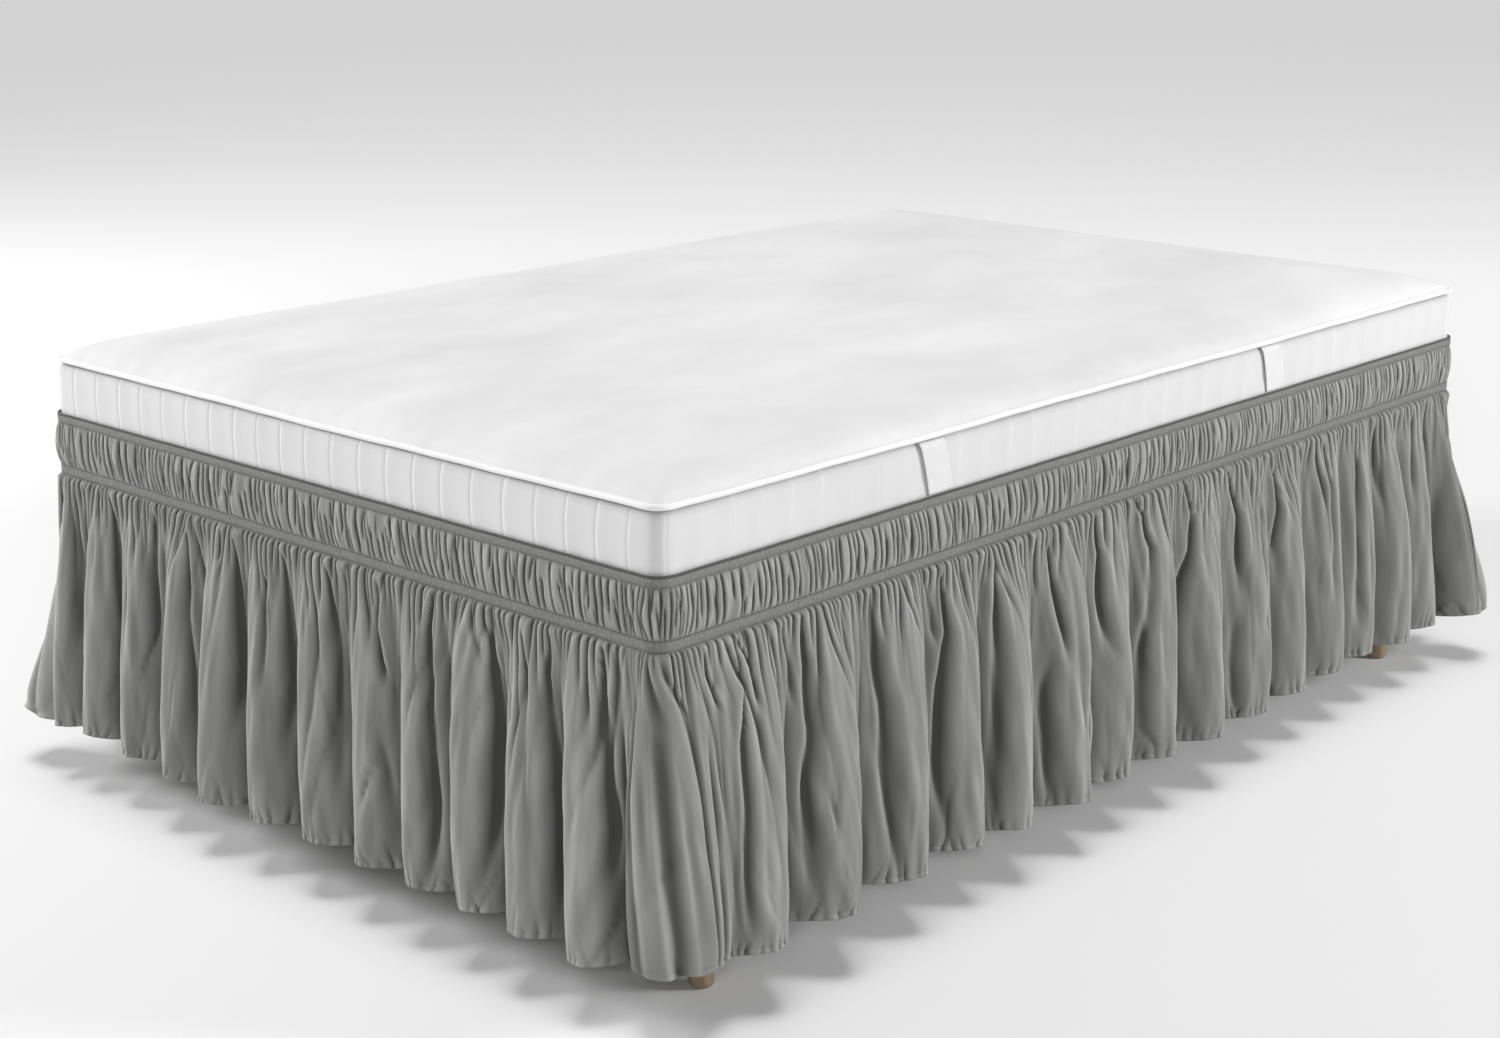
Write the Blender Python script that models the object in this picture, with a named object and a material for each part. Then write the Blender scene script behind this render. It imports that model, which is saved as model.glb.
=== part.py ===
"""Gathered bed skirt held round a mattress by two elastics, on a plain bed base with four legs.

Metres, +Z up, origin on the floor under the middle of the bed. The foot of the bed is at -Y and
the head at +Y. The cloth is one closed strip: a gathered heading between the two elastics and a
drop that hangs below them in folds. Its half from the foot's left corner to the head's right
corner is set by the two tables of folds, and the other half is the same, turned half round.
"""
import math

import bmesh
import bpy
import numpy as np

# Bed, in metres
MATTRESS_WIDTH = 1.22
MATTRESS_LENGTH = 1.90
MATTRESS_CORNER = 0.030
MATTRESS_BOTTOM = 0.425
BORDER_TOP = 0.616
PIPING_HEIGHT = 0.625
PIPING_RADIUS = 0.0045
CROWN_TOP = 0.667
BASE_INSET = 0.006
BASE_CORNER = 0.024
BASE_BOTTOM = 0.235
LEG_INSET_SIDE = 0.038
LEG_INSET_END = 0.108
LEG_SIDES = 20
GAP = 0.0003

# Skirt, in metres
CLOTH = 0.002
SEAT_GAP = 0.0004
SEAT_CORNER = 0.022
SKIRT_TOP = 0.5485
BAND_HEIGHT = 0.014
BAND_THICKNESS = 0.0012
LOWER_BAND_CENTRE = 0.465
HEM_HEIGHT = 0.0755
HEADING_LEVEL = 0.505
DROP_LEVELS = (0.400, 0.250)
BAND_MARGIN = 0.0008

# Strap handles, in metres
HANDLE_WIDTH = 0.050
HANDLE_LEAN = 0.020
HANDLE_THICKNESS = 0.0025
HANDLE_TOP = 0.612
HANDLE_BOW = 0.0025
HANDLE_STEPS = 6
HANDLE_PLACES = {"foot": -0.453, "head": 0.362}

# Folds along the foot, from the left corner's middle to the right corner's middle.
# crest: distance of the fold's crest along the side at the hem; reach: how far it stands out
# there; dip: how far the valley after it stands out; bloom: how early it opens below the elastic;
# rise: how far its hem sits above the even height; lean: how far along the side its top lies
# from its hem
FOLD_COLUMNS = ("crest", "reach", "dip", "bloom", "rise", "lean")
FOOT_FOLDS = (
    (0.026, 0.047, 0.008, 1.5, 0.007, 0.000),
    (0.104, 0.045, 0.007, 1.7, 0.013, 0.002),
    (0.194, 0.041, 0.008, 1.8, 0.003, 0.014),
    (0.312, 0.052, 0.016, 1.5, 0.003, 0.000),
    (0.415, 0.065, 0.012, 1.6, -0.003, -0.019),
    (0.519, 0.058, 0.009, 1.9, -0.002, -0.024),
    (0.630, 0.053, 0.007, 1.6, 0.000, -0.032),
    (0.741, 0.054, 0.008, 1.4, 0.001, -0.035),
    (0.848, 0.061, 0.010, 1.7, 0.003, -0.045),
    (0.942, 0.063, 0.012, 1.8, 0.003, -0.042),
    (1.032, 0.063, 0.012, 1.5, 0.001, -0.026),
    (1.147, 0.066, 0.012, 1.6, -0.002, -0.050),
    (1.220, 0.063, 0.016, 1.4, 0.006, -0.034),
)
# Folds along the side, from the right foot corner's middle to the right head corner's middle
SIDE_FOLDS = (
    (0.109, 0.076, 0.012, 1.7, 0.000, 0.034),
    (0.241, 0.076, 0.009, 1.5, -0.001, 0.045),
    (0.391, 0.067, 0.007, 1.8, 0.000, 0.029),
    (0.514, 0.061, 0.015, 1.6, 0.002, 0.028),
    (0.607, 0.070, 0.016, 1.9, -0.001, 0.023),
    (0.748, 0.073, 0.019, 1.5, -0.004, 0.038),
    (0.852, 0.062, 0.010, 1.7, -0.001, 0.028),
    (0.966, 0.066, 0.018, 1.4, 0.000, 0.042),
    (1.076, 0.075, 0.017, 1.6, -0.003, 0.032),
    (1.222, 0.063, 0.012, 1.8, -0.005, 0.034),
    (1.342, 0.062, 0.010, 1.5, -0.002, 0.012),
    (1.457, 0.058, 0.013, 1.7, 0.001, 0.018),
    (1.571, 0.051, 0.009, 1.6, 0.002, 0.008),
    (1.673, 0.066, 0.014, 1.8, -0.003, -0.010),
    (1.776, 0.056, 0.011, 1.5, 0.001, -0.024),
    (1.884, 0.090, 0.010, 1.4, -0.002, -0.036),
)
FOLD_STEPS = 6
CREST_ROUNDNESS = 1.35
CORNER_PARTS = (-0.5, -0.25, 0.0, 0.25, 0.5)
CORNER_SPACE = 0.004
# How far the heading puffs out between the elastics, for each step of a fold
HEADING_PUFFS = (0.0020, 0.0066, 0.0030, 0.0076, 0.0024, 0.0058)
HEADING_UNEVENNESS = 0.25
HEM_LIFT = 0.5

# Each row of a rounded body: inset from the mattress's side and height
SIZE_COLUMNS = ("inset", "height")
MATTRESS_ROWS = (
    (0.014, MATTRESS_BOTTOM),
    (0.004, MATTRESS_BOTTOM + 0.003),
    (0.000, MATTRESS_BOTTOM + 0.010),
    (0.000, BORDER_TOP),
    (0.0025, BORDER_TOP + 0.003),
)
CROWN_ROWS = (
    (0.010, PIPING_HEIGHT + 0.0005),
    (0.022, PIPING_HEIGHT + 0.013),
    (0.048, PIPING_HEIGHT + 0.026),
    (0.090, PIPING_HEIGHT + 0.034),
    (0.150, PIPING_HEIGHT + 0.039),
    (0.300, CROWN_TOP),
)
PIPING_STEPS = 6
BASE_ROWS = (
    (0.008, BASE_BOTTOM),
    (0.002, BASE_BOTTOM + 0.003),
    (0.000, BASE_BOTTOM + 0.009),
    (0.000, MATTRESS_BOTTOM - GAP - 0.009),
    (0.002, MATTRESS_BOTTOM - GAP - 0.003),
    (0.008, MATTRESS_BOTTOM - GAP),
)
LEG_ROWS = (
    (0.0125, 0.000),
    (0.0150, 0.002),
    (0.0160, 0.008),
    (0.0215, BASE_BOTTOM - GAP),
)
CORNER_STEPS = 9


def clear_scene():
    for item in list(bpy.data.objects):
        bpy.data.objects.remove(item, do_unlink=True)


def material(name, colour, roughness):
    made = bpy.data.materials.new(name)
    made.use_nodes = True
    shader = made.node_tree.nodes["Principled BSDF"]
    shader.inputs["Base Color"].default_value = (*colour, 1.0)
    shader.inputs["Roughness"].default_value = roughness
    shader.inputs["Metallic"].default_value = 0.0
    return made


def add_object(name, points, faces, finish):
    mesh = bpy.data.meshes.new(name)
    mesh.from_pydata([tuple(point) for point in points], [], faces)
    mesh.validate()
    body = bmesh.new()
    body.from_mesh(mesh)
    bmesh.ops.recalc_face_normals(body, faces=body.faces)
    body.to_mesh(mesh)
    body.free()
    mesh.shade_smooth()
    mesh.set_sharp_from_angle(angle=math.radians(40))
    mesh.materials.append(finish)
    made = bpy.data.objects.new(name, mesh)
    bpy.context.collection.objects.link(made)
    return made


def rounded_rectangle(width, length, corner):
    """Give a function from distance along the outline to a point and its outward direction.

    Distance starts at the middle of the left foot corner and runs anticlockwise.
    """
    quarter = corner * math.pi / 2
    flats = (width - 2 * corner, length - 2 * corner) * 2
    centres = (
        (corner - width / 2, corner - length / 2),
        (width / 2 - corner, corner - length / 2),
        (width / 2 - corner, length / 2 - corner),
        (corner - width / 2, length / 2 - corner),
    )
    around = sum(flats) + 4 * quarter

    def place(distance):
        left = (distance + quarter / 2) % around
        for side, flat in enumerate(flats):
            centre = centres[side]
            turned = math.pi + side * math.pi / 2
            if left <= quarter:
                angle = turned + left / corner
                outward = (math.cos(angle), math.sin(angle))
                return (centre[0] + corner * outward[0], centre[1] + corner * outward[1]), outward
            left -= quarter
            if left <= flat + 1e-9:
                angle = turned + math.pi / 2
                outward = (math.cos(angle), math.sin(angle))
                along = (-outward[1], outward[0])
                return (
                    centre[0] + corner * outward[0] + left * along[0],
                    centre[1] + corner * outward[1] + left * along[1],
                ), outward
            left -= flat
        raise ValueError("distance lies past the outline's end")

    return place, flats, quarter


def outline(inset, width, length, corner):
    """Points of a rounded rectangle drawn in by inset, with the same number of steps anywhere."""
    radius = max(corner - inset, 0.4 * corner)
    reach_x = width / 2 - inset - radius
    reach_y = length / 2 - inset - radius
    points = []
    for quarter, (sign_x, sign_y) in enumerate(((-1, -1), (1, -1), (1, 1), (-1, 1))):
        for step in range(CORNER_STEPS + 1):
            angle = math.pi + (quarter + step / CORNER_STEPS) * math.pi / 2
            points.append((sign_x * reach_x + radius * math.cos(angle),
                           sign_y * reach_y + radius * math.sin(angle)))
    return points


def stack(name, rows, finish):
    """Close a stack of rows, each a list of points with one height, into a solid."""
    count = len(rows[0][0])
    points = [(x, y, height) for row, height in rows for x, y in row]
    faces = [tuple(reversed(range(count)))]
    for level in range(len(rows) - 1):
        for step in range(count):
            near = level * count + step
            far = level * count + (step + 1) % count
            faces.append((near, far, far + count, near + count))
    faces.append(tuple(range((len(rows) - 1) * count, len(rows) * count)))
    return add_object(name, points, faces, finish)


def piping_rows():
    """Half a round cord along the mattress's top edge, from its lower to its inner side."""
    rows = []
    for step in range(PIPING_STEPS + 1):
        angle = math.radians(-50 + 200 * step / PIPING_STEPS)
        rows.append((0.003 - PIPING_RADIUS * math.cos(angle),
                     PIPING_HEIGHT + PIPING_RADIUS * math.sin(angle)))
    return tuple(rows)


def add_mattress(finish):
    rows = []
    for values in MATTRESS_ROWS + piping_rows() + CROWN_ROWS:
        row = dict(zip(SIZE_COLUMNS, values))
        rows.append((outline(row["inset"], MATTRESS_WIDTH, MATTRESS_LENGTH, MATTRESS_CORNER),
                     row["height"]))
    stack("mattress", rows, finish)


def add_base(finish):
    width = MATTRESS_WIDTH - 2 * BASE_INSET
    length = MATTRESS_LENGTH - 2 * BASE_INSET
    rows = []
    for values in BASE_ROWS:
        row = dict(zip(SIZE_COLUMNS, values))
        rows.append((outline(row["inset"], width, length, BASE_CORNER), row["height"]))
    stack("bed_base", rows, finish)


def add_legs(finish):
    for end, sign_y in (("foot", -1), ("head", 1)):
        for side, sign_x in (("left", -1), ("right", 1)):
            centre_x = sign_x * (MATTRESS_WIDTH / 2 - LEG_INSET_SIDE)
            centre_y = sign_y * (MATTRESS_LENGTH / 2 - LEG_INSET_END)
            rows = []
            for radius, height in LEG_ROWS:
                ring = []
                for step in range(LEG_SIDES):
                    angle = 2 * math.pi * step / LEG_SIDES
                    ring.append((centre_x + radius * math.cos(angle),
                                 centre_y + radius * math.sin(angle)))
                rows.append((ring, height))
            stack(f"leg_{end}_{side}", rows, finish)


def add_handles(finish):
    """Flat straps that lean a little and stand off the border at their middle."""
    bottom = SKIRT_TOP + 0.0035
    for end, centre_y in HANDLE_PLACES.items():
        for side, sign_x in (("left", -1), ("right", 1)):
            points = []
            for step in range(HANDLE_STEPS + 1):
                part = step / HANDLE_STEPS
                height = HANDLE_TOP + (bottom - HANDLE_TOP) * part
                off = GAP + HANDLE_BOW * math.sin(math.pi * part)
                middle = centre_y + HANDLE_LEAN * (part - 0.5)
                for outer, edge in ((0, -1), (0, 1), (1, 1), (1, -1)):
                    points.append((sign_x * (MATTRESS_WIDTH / 2 + off + outer * HANDLE_THICKNESS),
                                   middle + edge * HANDLE_WIDTH / 2, height))
            faces = [(0, 1, 2, 3)]
            for step in range(HANDLE_STEPS):
                for edge in range(4):
                    near = step * 4 + edge
                    far = step * 4 + (edge + 1) % 4
                    faces.append((near, far, far + 4, near + 4))
            faces.append(tuple(HANDLE_STEPS * 4 + edge for edge in range(4)))
            add_object(f"handle_{end}_{side}", points, faces, finish)


def fold_list(foot_run, side_run):
    """All folds round the bed in order, with their crests measured from the left foot corner."""
    folds = []
    for half in range(2):
        start = half * (foot_run + side_run)
        for first, table in ((start, FOOT_FOLDS), (start + foot_run, SIDE_FOLDS)):
            for values in table:
                fold = dict(zip(FOLD_COLUMNS, values))
                fold["crest"] += first
                folds.append(fold)
    return folds


def cloth_columns(folds, around):
    """Columns of the cloth grid, each with its place and its blend of the folds beside it."""
    columns = []
    for index, fold in enumerate(folds):
        before = folds[index - 1]
        after = folds[(index + 1) % len(folds)]
        crest = fold["crest"]
        start = (before["crest"] - (around if index == 0 else 0) + crest) / 2
        end = (after["crest"] + (around if index == len(folds) - 1 else 0) + crest) / 2
        for step in range(FOLD_STEPS):
            part = 2 * step / FOLD_STEPS
            away = abs(part - 1)
            if part <= 1:
                distance = crest - (crest - start) * away
                beside, dip = before, before["dip"]
            else:
                distance = crest + (end - crest) * away
                beside, dip = after, fold["dip"]
            share = (1 + math.cos(math.pi * away ** CREST_ROUNDNESS)) / 2
            column = {"reach": fold["reach"], "dip": dip, "share": share,
                      "step": step, "fold": index}
            for key in ("bloom", "rise", "lean"):
                column[key] = fold[key] + (beside[key] - fold[key]) * away / 2
            column["hem"] = distance
            column["distance"] = distance + column["lean"]
            columns.append(column)
    return columns


def cloth_levels():
    """Heights of the cloth's rows, from the top edge to the hem, and what each row does."""
    half = BAND_HEIGHT / 2 + BAND_MARGIN
    return (
        (SKIRT_TOP, "seat"),
        (SKIRT_TOP - BAND_HEIGHT - 2 * BAND_MARGIN, "seat"),
        (HEADING_LEVEL, "heading"),
        (LOWER_BAND_CENTRE + half, "seat"),
        (LOWER_BAND_CENTRE - half, "seat"),
        (DROP_LEVELS[0], "drop"),
        (DROP_LEVELS[1], "drop"),
        (HEM_HEIGHT, "drop"),
    )


def cloth_place(column, height, use):
    """Where the cloth's outer face is: distance along the side and how far it stands out."""
    seat = SEAT_GAP + CLOTH
    if use == "seat":
        return column["distance"], seat
    if use == "heading":
        uneven = 1 + HEADING_UNEVENNESS * math.sin(2.3 * column["fold"] + 1.7 * column["step"])
        return column["distance"], seat + HEADING_PUFFS[column["step"]] * uneven
    start = LOWER_BAND_CENTRE - BAND_HEIGHT / 2 - BAND_MARGIN
    fallen = (start - height) / (start - HEM_HEIGHT)
    opened = 1 - (1 - fallen) ** column["bloom"]
    full = column["dip"] + (column["reach"] - column["dip"]) * column["share"]
    return column["distance"] - column["lean"] * fallen, seat + full * opened


def cloth_grid(columns, place):
    """Points of the cloth's outer face, one row for each level."""
    drop = LOWER_BAND_CENTRE - HEM_HEIGHT
    rows = []
    for height, use in cloth_levels():
        row = []
        for column in columns:
            distance, reach = cloth_place(column, height, use)
            (x, y), (out_x, out_y) = place(distance)
            lift = 0.0
            if height == HEM_HEIGHT:
                lift = HEM_LIFT * reach ** 2 / drop + column["rise"]
            row.append((x + out_x * reach, y + out_y * reach, height + lift))
        rows.append(row)
    return np.array(rows)


def outward_normals(grid):
    """Unit directions out of the cloth at each grid point."""
    along = np.roll(grid, -1, axis=1) - np.roll(grid, 1, axis=1)
    down = np.gradient(grid, axis=0)
    normals = np.cross(down, along)
    return normals / np.linalg.norm(normals, axis=2, keepdims=True)


def add_cloth(columns, place, finish):
    outer = cloth_grid(columns, place)
    inner = outer - CLOTH * outward_normals(outer)
    rows, count = outer.shape[:2]
    points = np.concatenate((outer.reshape(-1, 3), inner.reshape(-1, 3)))
    inside = rows * count
    faces = []
    for step in range(count):
        far = (step + 1) % count
        for level in range(rows - 1):
            near_up, far_up = level * count + step, level * count + far
            near_down, far_down = near_up + count, far_up + count
            faces.append((near_up, near_down, far_down, far_up))
            faces.append((inside + near_up, inside + far_up, inside + far_down, inside + near_down))
        faces.append((step, far, inside + far, inside + step))
        hem = (rows - 1) * count
        faces.append((hem + step, inside + hem + step, inside + hem + far, hem + far))
    add_object("skirt_cloth", points.tolist(), faces, finish)


def add_band(name, centre, columns, place, finish):
    """A flat elastic round the cloth, with the cloth's own columns at the corners."""
    inner = SEAT_GAP + CLOTH + GAP
    points = []
    for column in columns:
        if not column["at_corner"]:
            continue
        (x, y), (out_x, out_y) = place(column["distance"])
        for reach in (inner, inner + BAND_THICKNESS):
            for side in (-1, 1):
                points.append((x + out_x * reach, y + out_y * reach,
                               centre + side * BAND_HEIGHT / 2))
    faces = []
    count = len(points) // 4
    for step in range(count):
        near, far = step * 4, (step + 1) % count * 4
        for a, b in ((0, 1), (1, 3), (3, 2), (2, 0)):
            faces.append((near + a, near + b, far + b, far + a))
    add_object(name, points, faces, finish)


def with_columns_at(columns, key, targets, around):
    """Add a blended column wherever key has to reach a target, and drop those close to it."""

    def apart(column, target):
        return (column[key] - target + around / 2) % around - around / 2

    added = []
    for target in targets:
        before = max((c for c in columns if apart(c, target) <= 0), key=lambda c: apart(c, target))
        after = min((c for c in columns if apart(c, target) > 0), key=lambda c: apart(c, target))
        part = apart(before, target) / (apart(before, target) - apart(after, target))
        made = dict(before)
        for name in ("reach", "dip", "share", "bloom", "rise", "lean"):
            made[name] = before[name] + (after[name] - before[name]) * part
        made["hem"] = target if key == "hem" else target - made["lean"]
        made["distance"] = made["hem"] + made["lean"]
        added.append(made)
    kept = [c for c in columns if all(abs(apart(c, a[key])) > CORNER_SPACE for a in added)]
    first = kept[0]["distance"]
    return sorted(kept + added, key=lambda c: (c["distance"] - first) % around)


def add_corner_columns(columns, corners, quarter, around):
    """Put columns on each corner's arc, at the hem and at the seat, and mark those on the seat's."""
    hems = [corner + quarter * part for corner in corners for part in CORNER_PARTS]
    seats = [corner + quarter * part for corner in corners for part in (-0.5, 0.0, 0.5)]
    columns = with_columns_at(columns, "hem", hems, around)
    columns = with_columns_at(columns, "distance", seats, around)
    for column in columns:
        column["at_corner"] = any(
            abs((column["distance"] - corner + around / 2) % around - around / 2)
            <= quarter / 2 + 1e-6 for corner in corners)
    return columns


def build():
    clear_scene()
    cloth = material("grey brushed cloth", (0.235, 0.232, 0.228), 0.85)
    elastic = material("grey ribbed elastic", (0.205, 0.205, 0.203), 0.75)
    ticking = material("white mattress ticking", (0.80, 0.80, 0.80), 0.80)
    lining = material("plain base cloth", (0.55, 0.54, 0.52), 0.90)
    beech = material("pale beech", (0.40, 0.29, 0.20), 0.55)
    webbing = material("white webbing", (0.84, 0.84, 0.83), 0.70)

    add_mattress(ticking)
    add_base(lining)
    add_legs(beech)
    add_handles(webbing)

    place, flats, quarter = rounded_rectangle(MATTRESS_WIDTH, MATTRESS_LENGTH, SEAT_CORNER)
    foot_run = flats[0] + quarter
    side_run = flats[1] + quarter
    around = 2 * (foot_run + side_run)
    corners = (0.0, foot_run, foot_run + side_run, 2 * foot_run + side_run)
    columns = cloth_columns(fold_list(foot_run, side_run), around)
    columns = add_corner_columns(columns, corners, quarter, around)
    add_cloth(columns, place, cloth)
    upper_centre = SKIRT_TOP - BAND_MARGIN - BAND_HEIGHT / 2
    add_band("upper_elastic", upper_centre, columns, place, elastic)
    add_band("lower_elastic", LOWER_BAND_CENTRE, columns, place, elastic)


build()
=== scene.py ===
# A gathered bed skirt round the mattress of a plain bed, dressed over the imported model.
# Metres, +Z up, the foot of the bed at -Y and its head at +Y, the floor at 0.
import math

import bmesh
import bpy
import numpy as np
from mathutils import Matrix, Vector


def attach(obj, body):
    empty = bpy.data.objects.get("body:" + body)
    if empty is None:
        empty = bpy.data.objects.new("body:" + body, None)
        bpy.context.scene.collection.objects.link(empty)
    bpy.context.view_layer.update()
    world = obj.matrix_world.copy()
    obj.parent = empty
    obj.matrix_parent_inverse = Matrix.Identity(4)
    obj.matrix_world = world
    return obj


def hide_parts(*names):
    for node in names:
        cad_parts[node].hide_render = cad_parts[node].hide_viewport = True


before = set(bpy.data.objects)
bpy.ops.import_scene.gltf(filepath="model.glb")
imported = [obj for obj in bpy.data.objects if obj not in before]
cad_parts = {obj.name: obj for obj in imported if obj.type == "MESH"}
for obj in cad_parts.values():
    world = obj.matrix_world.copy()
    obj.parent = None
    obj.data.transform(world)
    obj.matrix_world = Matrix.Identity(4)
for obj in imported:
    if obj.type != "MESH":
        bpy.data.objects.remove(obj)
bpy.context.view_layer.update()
print("frame loaded:", len(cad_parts), "nodes")

random = np.random.default_rng(41)  # every uneven size is drawn from this, in one order
anyPhase = (0, 6.28)
fineSteps = 20001  # how finely a way round is measured out


# small helpers
def linear(hexColour):
    # an sRGB hex colour as linear light: straight near black, a power of 2.4 above it
    parts = [int(hexColour[i:i + 2], 16) / 255 for i in (1, 3, 5)]
    return (*(p / 12.92 if p <= 0.04045 else ((p + 0.055) / 1.055) ** 2.4 for p in parts), 1.0)


def addObject(name, data):
    item = bpy.data.objects.new(name, data)
    bpy.context.collection.objects.link(item)
    return item


def addNode(tree, kind, inputs=None, **settings):
    node = tree.nodes.new("ShaderNode" + kind)
    for name, value in settings.items():
        setattr(node, name, value)
    for key, value in (inputs or {}).items():
        if isinstance(value, bpy.types.NodeSocket):
            tree.links.new(value, node.inputs[key])
        else:
            node.inputs[key].default_value = value
    return node


def ease(x):
    # a smooth step: flat at 0 and 1, three x squared less two x cubed between them
    x = np.clip(x, 0, 1)
    return x * x * (3 - 2 * x)


def blend(start, end, x):
    return start + (end - start) * ease(x)


def bell(x, width):
    # a bell: 1 at nought and 0.37 at the width, e to the power of minus the square of x over it
    return np.exp(-(x / width) ** 2)


def waves(x, wavelengths, strengths):
    # a sum of sines with the given wavelengths and strengths, each at any phase
    total = np.zeros_like(x)
    for wavelength, strength in zip(wavelengths, strengths):
        total = total + strength * np.sin(2 * np.pi * x / wavelength + random.uniform(*anyPhase))
    return total


def drawn(ranges, count):
    # an even draw for each named range, in their order
    return {name: random.uniform(*span, count) for name, span in ranges.items()}


def hyperbola(x, end, soft):
    # 0 at nought and 1 at the end: straight, but rounded over the soft length at nought
    return (np.sqrt(x ** 2 + soft ** 2) - soft) / (np.sqrt(end ** 2 + soft ** 2) - soft)


def outlineAt(distance, sizes):
    # a rounded rectangle walked anticlockwise from the middle of its left foot corner: four
    # straight runs joined by quarter circles; gives each point and its outward direction
    width, length, corner = sizes["width"], sizes["length"], sizes["corner"]
    quarter = corner * math.pi / 2
    runs = np.array([width - 2 * corner, length - 2 * corner] * 2)
    starts = np.concatenate(([0], np.cumsum(runs[:3] + quarter)))
    left = np.mod(distance + quarter / 2, runs.sum() + 4 * quarter)
    side = np.clip(np.searchsorted(starts, left, side="right") - 1, 0, 3)
    past = left - starts[side]
    angle = math.pi + (side + np.minimum(past / quarter, 1)) * math.pi / 2
    outward = np.stack((np.cos(angle), np.sin(angle)), axis=-1)
    along = np.stack((-outward[..., 1], outward[..., 0]), axis=-1)
    signs = np.array([(-1, -1), (1, -1), (1, 1), (-1, 1)])[side]
    centre = signs * (np.array([width, length]) / 2 - corner)
    point = centre + corner * outward + np.maximum(past - quarter, 0)[..., None] * along
    return point, outward


def outlineLength(sizes):
    straight = 2 * (sizes["width"] + sizes["length"]) - 8 * sizes["corner"]
    return straight + 2 * math.pi * sizes["corner"]


def evenColumns(sizes, pitch):
    # columns spaced evenly round an outline: distances, points, outward directions, and the
    # distances up to the whole way round, for a closed pattern
    perimeter = outlineLength(sizes)
    columns = int(perimeter / pitch)
    distance = np.arange(columns) * perimeter / columns
    return distance, *outlineAt(distance, sizes), np.append(distance, perimeter)


def rowOf(point, outward, offset, height):
    # one row of points: the outline moved outwards by the offset and set at the height
    offset = np.broadcast_to(offset, len(point))
    return np.column_stack((point + outward * offset[:, None],
                            np.broadcast_to(height, len(point))))


def patternAt(u, v):
    # the pattern's metres on a grid: u along the columns and v down the rows
    return np.stack(np.broadcast_arrays(u[None, :], np.asarray(v)[:, None]), axis=-1)


def surface(name, points, uv, material, node, paintedShading=None):
    # a grid of points, rows by columns, joined by four-sided faces; where the pattern has one
    # more column or row than the points, the last of these is joined to the first
    def atCorners(grid):
        return np.stack((grid[:-1, :-1], grid[1:, :-1], grid[1:, 1:], grid[:-1, 1:]), axis=2)

    points = np.array(points)
    rows, columns = points.shape[:2]
    index = np.arange(rows * columns).reshape(rows, columns)
    index = np.pad(index, ((0, len(uv) - rows), (0, uv.shape[1] - columns)), mode="wrap")
    faces = atCorners(index).reshape(-1, 4)
    mesh = bpy.data.meshes.new(name)
    mesh.vertices.add(rows * columns)
    mesh.vertices.foreach_set("co", points.astype(np.float32).ravel())
    mesh.loops.add(faces.size)
    mesh.loops.foreach_set("vertex_index", faces.astype(np.int32).ravel())
    mesh.polygons.add(len(faces))
    mesh.polygons.foreach_set("loop_start", np.arange(len(faces), dtype=np.int32) * 4)
    mesh.update(calc_edges=True)
    mesh.validate()
    mesh.uv_layers.new(name="metres").data.foreach_set(
        "uv", atCorners(uv).astype(np.float32).ravel())
    # painted shading kept on the points: darker in the hollows, paler on the ridges
    if paintedShading is not None:
        mesh.attributes.new("paintedShading", "FLOAT", "POINT").data.foreach_set(
            "value", np.array(paintedShading, dtype=np.float32).ravel())
    mesh.shade_smooth()
    mesh.materials.append(material)
    piece = addObject(name, mesh)
    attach(piece, "root")
    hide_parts(node)
    return piece


def paintedShadingOf(offset, pitch, padding, strength):
    # how far each place lies below its neighbourhood, from -1 on a ridge to 1 in a hollow: the
    # mean within 9 mm and within 34 mm, less the place itself, over 2.2 mm and over 18 mm; it sets
    # painted shade in the hollows and a painted highlight on the ridges
    total = 0
    for reach, full in ((0.009, 0.0022), (0.034, 0.018)):
        side = int(reach / pitch)
        weights = np.hanning(2 * side + 3)[1:-1]
        mean = np.convolve(np.pad(offset, side, mode=padding), weights / weights.sum(), "valid")
        total = total + strength * np.clip((mean - offset) / full, -1, 1)
    return np.clip(total, -1, 1)


# materials
def newMaterial(name, rough, specular=0.5):
    material = bpy.data.materials.new(name)
    material.use_nodes = True
    shader = material.node_tree.nodes["Principled BSDF"]
    shader.inputs["Roughness"].default_value = rough
    shader.inputs["Specular IOR Level"].default_value = specular
    return material, material.node_tree, shader


def mottled(tree, vector, detail, rough, dark, pale):
    # a noise, and the colour that it gives: the dark one below its middle and the pale one above
    noise = addNode(tree, "TexNoise", {"Vector": vector, "Scale": 1.0, "Detail": detail,
                                       "Roughness": rough})
    colour = addNode(tree, "ValToRGB", {"Fac": noise.outputs["Fac"]})
    ends = colour.color_ramp.elements
    ends[0].position, ends[1].position = 0.3, 0.7
    ends[0].color, ends[1].color = linear(dark), linear(pale)
    return noise.outputs["Fac"], colour.outputs["Color"]


def finish(tree, shader, colour, height, strength, distance):
    # the colour, and a relief of the given height
    bump = addNode(tree, "Bump", {"Height": height, "Strength": strength, "Distance": distance})
    tree.links.new(colour, shader.inputs["Base Color"])
    tree.links.new(bump.outputs["Normal"], shader.inputs["Normal"])


# the relief of every weave, the measures of the hollows at which the painted shading makes a cloth
# palest, a painted highlight on its ridges, and darkest, a painted shade in its hollows, and how
# its face shines
weaving = {"height": 0.0004, "strength": 0.15, "paintedPalest": -0.7, "paintedDarkest": 0.9,
           "sheenRough": 0.3, "specular": 0.2}


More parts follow.
